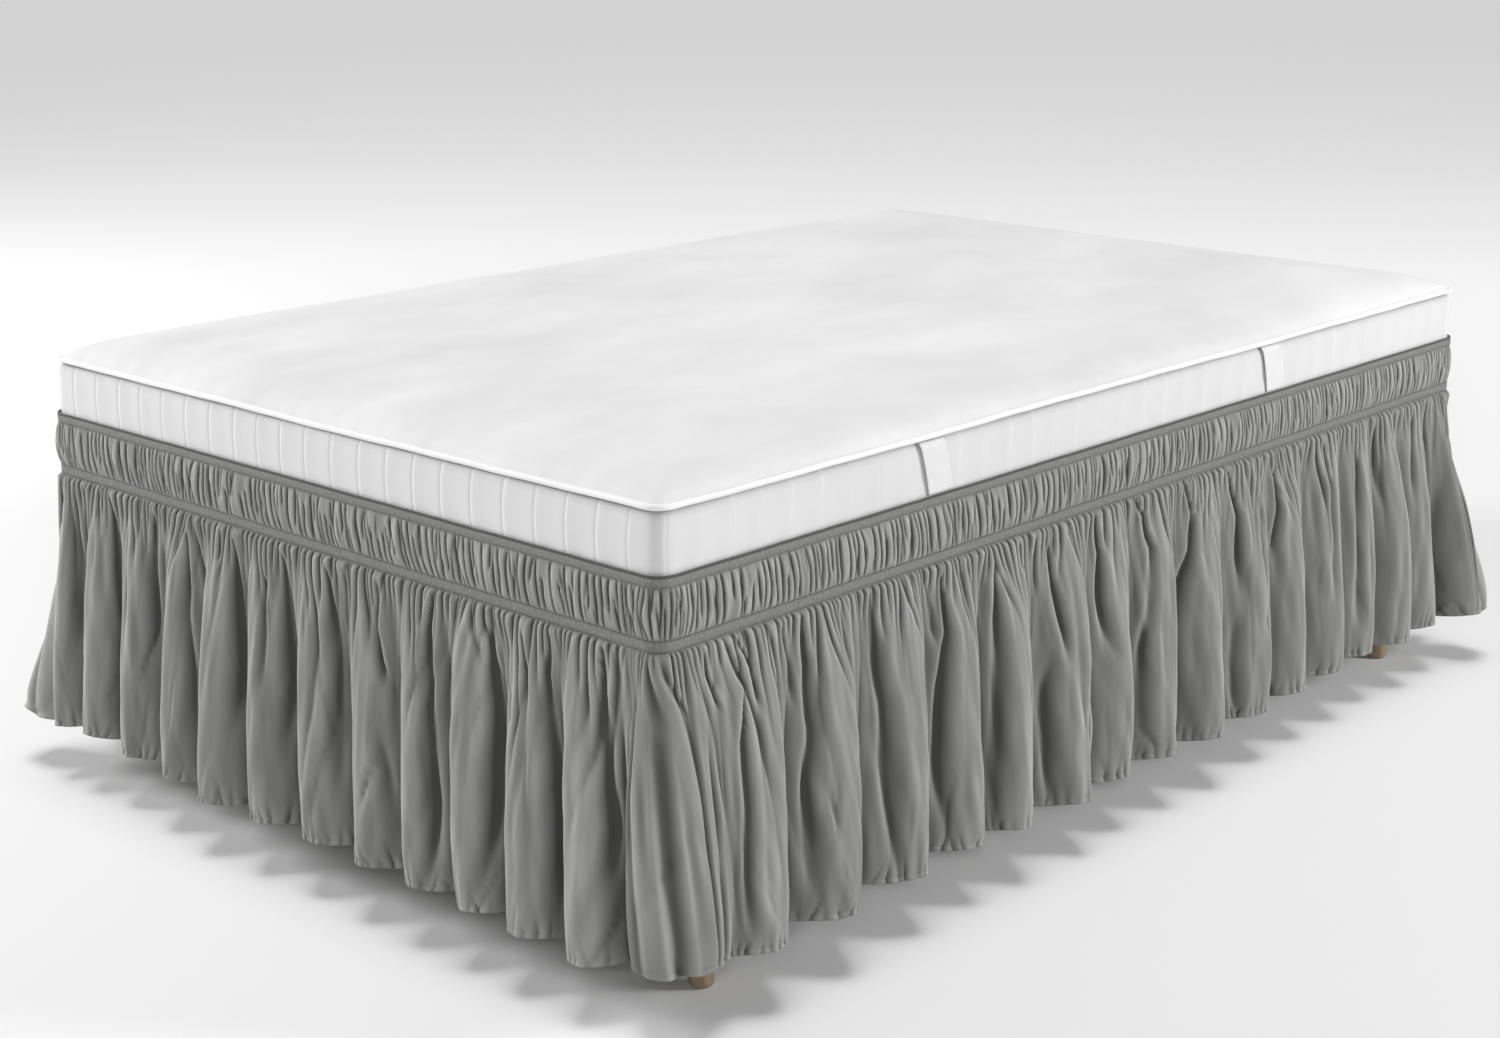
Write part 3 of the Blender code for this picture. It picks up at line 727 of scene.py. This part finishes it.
def hemmed(offset, hem, above, tick):
    # the hem's doubled cloth, pinched in along its stitches and puckered by them
    turn, ticks = drop["hem"], drop["ticks"]
    fromStitch = turn["height"] - above
    offset = offset + ease(fromStitch / turn["step"]) * turn["thick"] - bell(
        fromStitch, turn["pinchWidth"]) * turn["pinch"]
    if above < ticks["reach"]:
        left = slantedGrooves(hem, tick, -above, bell(ticks["above"] - above, tick["life"]),
                              ticks["sharp"])
        offset = offset - ticks["height"] * (1 - left)
    return np.maximum(offset, 0)


def turnedUnder(outer):
    # four rows behind the hem, each set inwards from an outer row across its smoothed line
    side = drop["hem"]["smooth"]
    kernel = np.ones(2 * side + 1) / (2 * side + 1)
    turned = []
    for row, inset, raised in drop["hem"]["rows"]:
        smooth = np.column_stack([
            np.convolve(np.pad(outer[row][:, axis], side, mode="edge"), kernel, "valid")
            for axis in range(2)])
        along = np.gradient(smooth, axis=0)
        inward = np.column_stack((-along[:, 1], along[:, 0], np.zeros(len(along))))
        inward /= np.linalg.norm(inward, axis=1, keepdims=True)
        turned.append(outer[row] + inward * inset + np.array([0, 0, raised]))
    return np.array(turned)


def makeDrop(places):
    # a fold grows from nothing under the elastic to its reach at the hem, its crest is broadened
    # by a sine along the side, and its hem rises with the square of how far it stands out
    start = skirt["lowerBand"] - skirt["bandHeight"] / 2 - skirt["margin"]
    fall = start - skirt["hem"]
    detail = drawDetails(places)
    crest = folds[:, 0]
    first = (crest[0] - (around - crest[-1])) / 2
    corner = (crest[len(footFolds) - 1] + crest[len(footFolds)]) / 2
    bounds = [first, corner, first + around / 2, corner + around / 2, first + around]
    strongest, loss, lossOver = drop["paintedShading"]
    for name, begins, ends in zip(("foot", "right", "head", "left"), bounds, bounds[1:]):
        total, way = crowdedPlaces(begins, ends, drop["cornerWeight"], drop["cornerReach"])
        pitch = drop["columnPitch"][name]
        columns = int(total[-1] / pitch) + 1
        hem = np.interp(np.linspace(0, total[-1], columns), total, way)
        reach, dip, share, signed, bloom, rise, lean = foldsAt(hem)
        crestIndex = np.abs(wrapped(hem[:, None] - crest)).argmin(axis=1)
        base = drop["dipShare"] * dip
        cornerNear = fromCorner(hem) < drop["fanReach"]
        rows, texture, paintedShading = [], [], []
        for depth in drop["depths"]:
            down = max(depth, 0)
            part = down / fall
            opened = 1 - (1 - min(part, 1)) ** bloom
            place = hem + lean - lean * part
            offset = (base + (reach - base) * share) * opened
            offset = gathered(offset, place, share, down, detail)
            offset = creased(offset, place, hem, down)
            wander = wavesAt(detail["wander"], hem, down)
            offset = offset + drop["wanderShare"] * wander * opened + wavesAt(
                detail["streaks"], place, down) * ease(down / drop["streaksOver"])
            offset = offset + wavesAt(detail["ripples"], place, down) * ease(
                down / drop["ripplesOver"])
            offset = smallCreased(offset, place, down, detail["small"])
            offset = hemmed(offset, hem, fall - depth, detail["ticks"])
            # painted shade in the drop's grooves, creases, valleys and hem ticks, and a painted
            # highlight on its crests
            paintedShading.append(drop["shade"] + paintedShadingOf(
                offset, pitch, "edge", strongest - loss * ease(down / lossOver)))
            swell = detail["swell"][crestIndex] * np.sin(np.pi * signed) * opened
            sway = drop["sway"] * wander * math.sin(math.pi * min(part, 1))
            fan = np.where(cornerNear, skirt["corner"] / (skirt["corner"] + offset), 1.0)
            raised = (skirt["lift"] * offset ** 2 / fall + rise) * min(part, 1) ** 2
            rows.append(rowOf(*outlineAt(place + (swell + sway) * fan, skirt),
                              skirt["seat"] + offset, start - depth + raised))
            texture.append(np.column_stack((hem * skirt["fullness"], np.full(columns, -depth))))
        outer = np.array(rows)
        under = turnedUnder(outer)
        for _ in under:
            texture.append(texture[-1] - np.array([0, drop["hem"]["rowHeight"]]))
            paintedShading.append(paintedShading[-1])
        piece = surface("skirt_drop_" + name, np.concatenate((outer, under)),
                        np.array(texture), skirtCloth, "skirt_cloth", paintedShading)
        print("drop made:", name, columns, "columns")


# the elastics; each profile point is its share of the half height, how many thicknesses it stands
# out, and how much painted shade it carries, dark at the rounded edges and pale on the face, from
# the lower edge upwards
elastic = {
    "thick": 0.0012, "gap": 0.0003, "columnPitch": 0.0018, "turnedIn": -0.009,
    "ribs": 0.0043, "ribDepth": 0.34, "ribPaintedShade": 0.42, "ribSlant": 0.22, "wander": 0.0007,
    "lower": ((-0.9, 0.3, 0.6), (-1.0, 0.7, 0.8), (-0.93, 1.0, 0.0), (-0.45, 1.08, -0.5),
              (0.05, 1.1, -0.6)),
    "upper": ((0.5, 1.08, -0.6), (0.93, 1.0, 0.0), (1.0, 0.7, 0.8), (0.9, 0.3, 0.6)),
    "strip": ((0.93, 0.72, 0.7), (1.0, 0.5, 0.9), (0.9, 0.3, 0.8)),
}


def makeElastic(name, centre, node, strip):
    # a flat band with rounded edges, ribbed across by the cloth drawn up under it; strip is the
    # share of its height, at the top, that lies lower and is painted darker, a painted shade of
    # its recess, where the cloth is turned over
    distance, point, outward, closed = evenColumns(skirt, elastic["columnPitch"])
    halfHeight = skirt["bandHeight"] / 2
    edge = 1 - 2 * strip
    stripped = ((edge - 0.06, 1.08, -0.5), (edge, 0.62, 0.9), (edge + 0.2, 0.66, 0.75),
                *elastic["strip"])
    profile = (*elastic["lower"], *(stripped if strip else elastic["upper"]))[::-1]
    turns = distance / elastic["ribs"] + waves(distance, (0.05, 0.021, 0.013),
                                               (0.22, 0.16, 0.1))
    strength = np.clip(0.6 + waves(distance, (0.031, 0.017, 0.009), (0.3, 0.25, 0.2)), 0, 1.3)
    wander = waves(distance, (0.23, 0.11, 0.047, 0.021),
                   (0.4, 0.25, 0.2, 0.15)) * elastic["wander"]
    rows, paintedShading = [], []
    for across, out, dark in profile:
        ribs = np.sin(2 * np.pi * (turns + elastic["ribSlant"] * across)) * strength * (out > 0.6)
        offset = skirt["seat"] + elastic["gap"] + elastic["thick"] * (
            out + elastic["ribDepth"] * ribs)
        height = centre + across * halfHeight + wander * abs(across)
        rows.append(rowOf(point, outward, offset, height))
        # painted shade at the edges, in the strip and the rib grooves, and a painted highlight on
        # the rib tops
        paintedShading.append(np.clip(dark - elastic["ribPaintedShade"] * ribs, -1, 1))
    heights = [across * halfHeight for across, _, _ in profile]
    piece = surface(name, rows, patternAt(closed, [*heights, elastic["turnedIn"]]),
                    elasticCloth, node, paintedShading)
    print("elastic made:", name)


places = gatherPlaces()
makeHeading(places)
makeDrop(places)
makeElastic("elastic_upper", skirt["top"] - skirt["margin"] - skirt["bandHeight"] / 2,
            "upper_elastic", 0.2)
makeElastic("elastic_lower", skirt["lowerBand"], "lower_elastic", 0.0)


# mattress
mattress = {"width": 1.22, "length": 1.9, "corner": 0.026}
piping = {"height": 0.625, "radius": 0.0041, "inset": 0.003, "sides": 12, "columnPitch": 0.006,
          "around": 0.028}  # the width of tape that its weave is laid out over
border = {
    "channel": 0.053, "columnPitch": 0.006, "inset": 0.0003,
    "beside": (-4.2, -3.1, -2.1, -1.2, -0.4, 0.4, 1.2, 2.1, 3.1, 4.2),  # mm, extra columns
    "grooveDepth": 0.0008, "grooveWidth": 0.0022, "puff": 0.0009, "wander": 0.0012,
    # an even share of the deep tone, the painted shade and highlight beside each line, and the
    # painted shade at the top, under the piping
    "tone": -0.35, "linePaintedShading": 0.24, "pipingPaintedShade": 0.65,
    "lit": (0.0018, 0.0022), "shaded": (-0.0004, 0.0008),  # place beside the line, and width
    # heights and how far they lie inwards
    "levels": ((0.425, 0.014), (0.4265, 0.007), (0.4285, 0.003), (0.435, 0.0), (0.455, 0.0),
               (0.5, 0.0), (0.54, 0.0), (0.548, 0.0), (0.556, 0.0), (0.566, 0.0),
               (0.578, 0.0), (0.59, 0.0), (0.6, 0.0002), (0.608, 0.0008), (0.614, 0.0022),
               (0.6185, 0.0058), (0.6215, 0.0085)),
}


def makeBorder():
    # upright rows, drawn in by a bell-shaped groove at each stitched channel line, with a painted
    # highlight on one side of the line and painted shade on the other, and painted shade under the
    # piping
    perimeter = outlineLength(mattress)
    channel = border["channel"]
    lines = round(perimeter / channel)
    way = np.linspace(0, perimeter, fineSteps)
    counted = way / perimeter * lines + waves(way, (0.7, 0.29), (0.05, 0.04))
    beside = np.array(border["beside"]) / 1000
    marks = (np.arange(lines)[:, None] + beside / channel).ravel()
    distance = np.unique(np.concatenate((
        np.arange(0, perimeter - border["columnPitch"] / 2, border["columnPitch"]),
        np.interp(marks, counted, way))))
    distance = distance[distance < perimeter - 0.0005]  # evenly, and closer beside each line
    part = np.interp(distance, way, counted)
    fromLine = (part - np.round(part)) * channel
    clear = random.uniform(0.25, 1, lines + 1)[np.round(part).astype(int) % lines]
    point, outward = outlineAt(distance, mattress)
    puff = np.cos(np.pi * fromLine / channel) ** 2
    rows, paintedShading = [], []
    for height, inset in reversed(border["levels"]):
        soft = waves(distance + 0.3 * height, (0.055, 0.031), (0.0002, 0.0001))
        beyond = fromLine + border["wander"] * math.sin(height * 90)
        groove = bell(beyond, border["grooveWidth"])
        lit, shaded = (bell(beyond - place, width)
                       for place, width in (border["lit"], border["shaded"]))
        offset = -inset - border["grooveDepth"] * groove - border["puff"] * (
            1 - puff) + soft - border["inset"]
        # painted shade and highlight beside each line, and painted shade under the piping
        paintedShading.append(border["tone"] + clear * (border["linePaintedShading"] * shaded
                                                - border["linePaintedShading"] * lit)
                      + border["pipingPaintedShade"] * ease((height - 0.613) / 0.005))
        rows.append(rowOf(point, outward, offset, height))
    points = np.array(rows)
    piece = surface("mattress_border", points,
                    patternAt(np.append(distance, perimeter), points[:, 0, 2]), borderTicking,
                    "mattress", paintedShading)
    print("mattress border made:", lines, "channels")


# how the top panel rises inwards from its edge: inset and height above the piping
crown = np.array([(0.0, -0.0035), (0.004, 0.0027), (0.01, 0.0075), (0.022, 0.015),
                  (0.048, 0.026), (0.09, 0.0335), (0.15, 0.0385), (0.3, 0.0405),
                  (0.95, 0.0405)])
panel = {
    "columns": 160, "rows": 240, "inset": 0.003, "crowding": 0.055,
    "bandHeight": 0.0042, "bandLength": 0.36, "rippleHeight": 0.0022, "rippleLength": 0.115,
    "tuckHeight": 0.0007, "tuckLength": 0.047, "tuckInset": 0.018, "tuckWidth": 0.014,
}
underside = {"columns": 24, "rows": 36, "inset": 0.013, "lift": 0.0002}


def panelPoints(sizes):
    # a square grid whose corners are drawn into quarter circles: within a corner's square each
    # coordinate shrinks by the root of one less half the other's square
    inset = sizes["inset"]
    radius = mattress["corner"] - min(inset, 0.6 * mattress["corner"])
    halfX = mattress["width"] / 2 - inset
    halfY = mattress["length"] / 2 - inset

    def spaced(steps, end):
        even = np.linspace(-1, 1, steps)
        return end * (even + panel["crowding"] * np.sin(2 * np.pi * even) / 2)

    def placed(value, rounded, end):
        return np.where(rounded > 0, np.sign(value) * (end - radius + radius * rounded), value)

    x, y = np.meshgrid(spaced(sizes["columns"], halfX), spaced(sizes["rows"], halfY))
    dx = np.clip((np.abs(x) - (halfX - radius)) / radius, 0, 1)
    dy = np.clip((np.abs(y) - (halfY - radius)) / radius, 0, 1)
    atCorner = (dx > 0) & (dy > 0)
    x = placed(x, np.where(atCorner, dx * np.sqrt(1 - dy ** 2 / 2), dx), halfX)
    y = placed(y, np.where(atCorner, dy * np.sqrt(1 - dx ** 2 / 2), dy), halfY)
    return x, y, halfX - np.abs(x), halfY - np.abs(y)


def makeTopPanel():
    # the crown's rise over the distance from the edge, a fourth-power mean of the distances from
    # the two nearest sides, with broad bands of filling and small puckers along the seam
    x, y, fromX, fromY = panelPoints(panel)
    fromEdge = (np.maximum(fromX, 1e-4) ** -4 + np.maximum(fromY, 1e-4) ** -4) ** -0.25
    bands = np.sin(2 * np.pi * (y + 0.06 * np.sin(3 * x)) / panel["bandLength"] + 0.7)
    ripples = np.sin(2 * np.pi * (x + 0.05 * np.sin(5 * y)) / panel["rippleLength"])
    middle = ease(fromX / 0.2) * ease(fromY / 0.2)
    foot = ease((0.35 - fromY) / 0.3) * ease((fromY - 0.03) / 0.06) * ease(fromX / 0.1) * (y < 0)
    along = np.where(fromX < fromY, y, x)
    tuck = bell(np.minimum(fromX, fromY) - panel["tuckInset"], panel["tuckWidth"])
    puckers = np.sin(2 * np.pi * along / panel["tuckLength"] + 2 * np.sin(along * 9))
    height = piping["height"] + np.interp(fromEdge, *crown.T)
    height = height + panel["bandHeight"] * bands * middle + panel[
        "rippleHeight"] * ripples * foot
    height = height + panel["tuckHeight"] * tuck * puckers
    piece = surface("mattress_top_panel", np.stack((x, y, height), axis=-1)[::-1],
                    np.stack((x, y), axis=-1)[::-1], ticking, "mattress")
    x, y, _, _ = panelPoints(underside)
    height = np.full_like(x, border["levels"][0][0] + underside["lift"])
    surface("mattress_underside", np.stack((x, y, height), axis=-1), np.stack((x, y), axis=-1),
            ticking, "mattress")
    print("mattress panels made")


def makePiping():
    # a round cord carried along the mattress's top edge: a circle in the plane across the path
    distance, point, outward, closed = evenColumns(mattress, piping["columnPitch"])
    sag = waves(distance, (0.9, 0.37, 0.12), (0.0006, 0.0004, 0.0002))
    rows = [rowOf(point, outward, -piping["inset"] + piping["radius"] * math.cos(turn),
                  piping["height"] + piping["radius"] * math.sin(turn) + sag)
            for turn in np.linspace(0, 2 * math.pi, piping["sides"], endpoint=False)]
    surface("mattress_piping", rows[::-1],
            patternAt(closed, np.linspace(0, piping["around"], piping["sides"] + 1)),
            pipingCloth, "mattress")
    print("piping made")


makeBorder()
makeTopPanel()
makePiping()


# straps
handles = {
    "width": 0.05, "lean": 0.02, "thick": 0.002, "top": 0.6192, "bottom": 0.5495,
    "bow": 0.0016, "gap": 0.0003, "tuck": 0.003, "places": {"foot": -0.453, "head": 0.362},
    # the cross-section: places across the strap, and shares of its thickness
    "across": (-1, -0.94, -0.8, -0.74, -0.4, 0, 0.4, 0.74, 0.8, 0.94, 1,
               0.94, 0.8, 0.74, 0.4, 0, -0.4, -0.74, -0.8, -0.94),
    "out": (0.5, 0.93, 1, 0.86, 1.0, 1.04, 1.0, 0.86, 1, 0.93, 0.5,
            0.05, 0, 0, 0, 0, 0, 0, 0, 0.05),
    "steps": 26, "threadPitch": 0.006, "patternHeight": 0.066,
}


def makeHandle(name, node, centre, sign):
    # a thin rounded cross-section swept down the border: it leans along the side, stands off at
    # its middle by half a sine, and is pressed flat at both ends to close it
    across, out = np.array(handles["across"]), np.array(handles["out"])
    steps = np.linspace(0, 1, handles["steps"])
    rows = []
    for part, thick in [(0, 0), *((part, 1) for part in steps), (1, 0)]:
        height = handles["top"] + (handles["bottom"] - handles["top"]) * part
        off = handles["gap"] + handles["bow"] * math.sin(math.pi * part)
        off = off - handles["tuck"] * ease((height - 0.6125) / 0.007)  # under the piping
        middle = centre + handles["lean"] * (part - 0.5)
        rows.append(np.column_stack((
            sign * (mattress["width"] / 2 + off + (0.5 + (out - 0.5) * thick) * handles["thick"]),
            middle + across * handles["width"] / 2, np.full(len(across), height))))
    points = np.array(rows)[:, ::sign]
    u = np.append(np.cumsum(np.full(len(across), handles["threadPitch"])), 0.1)
    v = np.concatenate(([0], steps, [1])) * handles["patternHeight"]
    piece = surface(name, points, patternAt(u, v), webbing, node)
    welded = bmesh.new()
    welded.from_mesh(piece.data)
    bmesh.ops.remove_doubles(welded, verts=welded.verts, dist=1e-6)
    welded.to_mesh(piece.data)
    welded.free()


def makeHandles():
    for end, centre in handles["places"].items():
        for side, sign in (("left", -1), ("right", 1)):
            makeHandle(f"strap_{end}_{side}", f"handle_{end}_{side}", centre, sign)
    print("straps made")


makeHandles()


# base and legs
base = {
    "width": 1.208, "length": 1.888, "corner": 0.024, "bottom": 0.235, "top": 0.4247,
    "columnPitch": 0.012, "closing": 0.97,
    # how far down the cover's pattern each of its rows lies
    "pattern": (0, 0.3, 0.006, 0.007, 0.055, 0.07, 0.028, 0.002, 0.002, 0.015, 0.007, 0.007, 0.3),
}


def makeBase():
    # upright rows with a seam near the bottom, rounded over and closed towards the middle
    _, point, outward, closed = evenColumns(base, base["columnPitch"])
    top, bottom = base["top"], base["bottom"]
    levels = ((top, 0.008), (top - 0.003, 0.002), (top - 0.009, 0.0), (0.36, 0.0), (0.29, 0.0),
              (0.262, 0.0), (0.2605, 0.0015), (0.259, 0.0), (0.244, 0.0), (0.238, 0.002),
              (bottom, 0.008))
    middle = point * (1 - base["closing"])
    rows = [rowOf(middle, outward, 0, top),
            *(rowOf(point, outward, -inset, height) for height, inset in levels),
            rowOf(middle, outward, 0, bottom)]
    surface("base_cover", rows, patternAt(closed, np.cumsum(base["pattern"])), baseCloth,
            "bed_base")
    print("base made")


makeBase()


def woodMaterial():
    # oiled beech: fine long grain with short darker flecks, a satin face
    material, tree, shader = newMaterial("oiled beech", 0.5)
    place = addNode(tree, "TexCoord")
    drift = addNode(tree, "Mapping", {"Vector": place.outputs["Object"], "Scale": (90, 90, 5)})
    grain, colour = mottled(tree, drift.outputs["Vector"], 5.0, 0.65, "#7a6650", "#9f8b73")
    finish(tree, shader, colour, grain, 0.2, 0.0003)
    return material


legs = {"columns": 48, "x": 0.572, "y": 0.842, "pattern": 0.02,
        "rows": ((0.0, 0.0004), (0.0108, 0.0002), (0.0128, 0.001), (0.0145, 0.003),
                 (0.0156, 0.007), (0.0162, 0.014), (0.0175, 0.07), (0.0196, 0.15),
                 (0.0215, 0.234), (0.0215, 0.2346))}


def makeLegs():
    # a turned leg: rows of radius and height swept round its middle line
    wood = woodMaterial()
    turn = np.arange(legs["columns"]) * 2 * math.pi / legs["columns"]
    outward = np.column_stack((np.cos(turn), np.sin(turn)))
    closed = np.append(turn, 2 * math.pi) * legs["pattern"]
    for end, y in (("foot", -legs["y"]), ("head", legs["y"])):
        for side, x in (("left", -legs["x"]), ("right", legs["x"])):
            middle = np.tile((x, y), (len(turn), 1))
            points = np.array([rowOf(middle, outward, radius, height)
                               for radius, height in reversed(legs["rows"])])
            surface(f"turned_leg_{end}_{side}", points, patternAt(closed, points[:, 0, 2]),
                    wood, f"leg_{end}_{side}")
    print("legs made")


makeLegs()


# floor, lights and camera
def makeFloor():
    reach = 40
    mesh = bpy.data.meshes.new("floor")
    mesh.from_pydata([(-reach, -reach, 0), (reach, -reach, 0), (reach, reach, 0),
                      (-reach, reach, 0)], [], [(0, 1, 2, 3)])
    material, tree, shader = newMaterial("pale floor", 0.9, 0.1)
    place = addNode(tree, "TexCoord")
    # painted shade: the floor is darker within 1.5 m of the bed's middle, where shade falls round
    # the bed, and paler beyond 5 m
    away = addNode(tree, "VectorMath", {0: place.outputs["Object"]}, operation="LENGTH")
    spread = addNode(tree, "MapRange", {"Value": away.outputs["Value"], "From Min": 1.5,
                                        "From Max": 5.0}, interpolation_type="SMOOTHSTEP")
    tone = addNode(tree, "Mix", {"Factor": spread.outputs["Result"], "A": linear("#d6d6d6"),
                                 "B": linear("#f2f2f2")}, data_type="RGBA")
    tree.links.new(tone.outputs["Result"], shader.inputs["Base Color"])
    mesh.materials.append(material)
    addObject("floor", mesh)


# place, what it points at, size and watts
lamps = {
    "key": ((-5.1, -3.5, 2.6), (0.0, -0.9, 0.3), 1.5, 372),
    "side": ((5.3, 3.4, 2.6), (0.6, 0.1, 0.3), 1.5, 320),
    "front": ((4.4, -4.8, 2.4), (0.6, -0.9, 0.3), 2.0, 118),
}
overhead = {"height": 4, "strength": 2.0, "spread": 25}
surround = 0.1


def makeLights():
    world = bpy.data.worlds.new("studio")
    bpy.context.scene.world = world
    world.use_nodes = True
    white = world.node_tree.nodes["Background"].inputs
    white["Color"].default_value = (1, 1, 1, 1)
    white["Strength"].default_value = surround
    for name, (place, target, size, power) in lamps.items():
        light = bpy.data.lights.new(name, "AREA")
        light.size, light.energy = size, power
        lamp = addObject(name, light)
        lamp.location = place
        aim = Vector(np.subtract(target, place))
        lamp.rotation_euler = aim.to_track_quat("-Z", "Y").to_euler()
    light = bpy.data.lights.new("overhead", "SUN")
    light.energy, light.angle = overhead["strength"], math.radians(overhead["spread"])
    addObject("overhead", light).location = (0, 0, overhead["height"])


view = {"place": (2.392, -2.7745, 1.326), "lens": 63.6, "sensor": 36, "down": 15.55,
        "turn": 42.96, "zoom": 0.905, "shiftX": 0.024, "farthest": 100}


def makeCamera():
    camera = bpy.data.cameras.new("camera")
    camera.lens = view["lens"] * view["zoom"]
    camera.sensor_width = view["sensor"]
    camera.shift_x = view["shiftX"]
    camera.clip_end = view["farthest"]
    holder = addObject("camera", camera)
    holder.location = view["place"]
    holder.rotation_euler = (math.radians(90 - view["down"]), 0, math.radians(view["turn"]))
    bpy.context.scene.camera = holder


makeFloor()
makeLights()
makeCamera()
bpy.context.scene.view_settings.view_transform = "Standard"
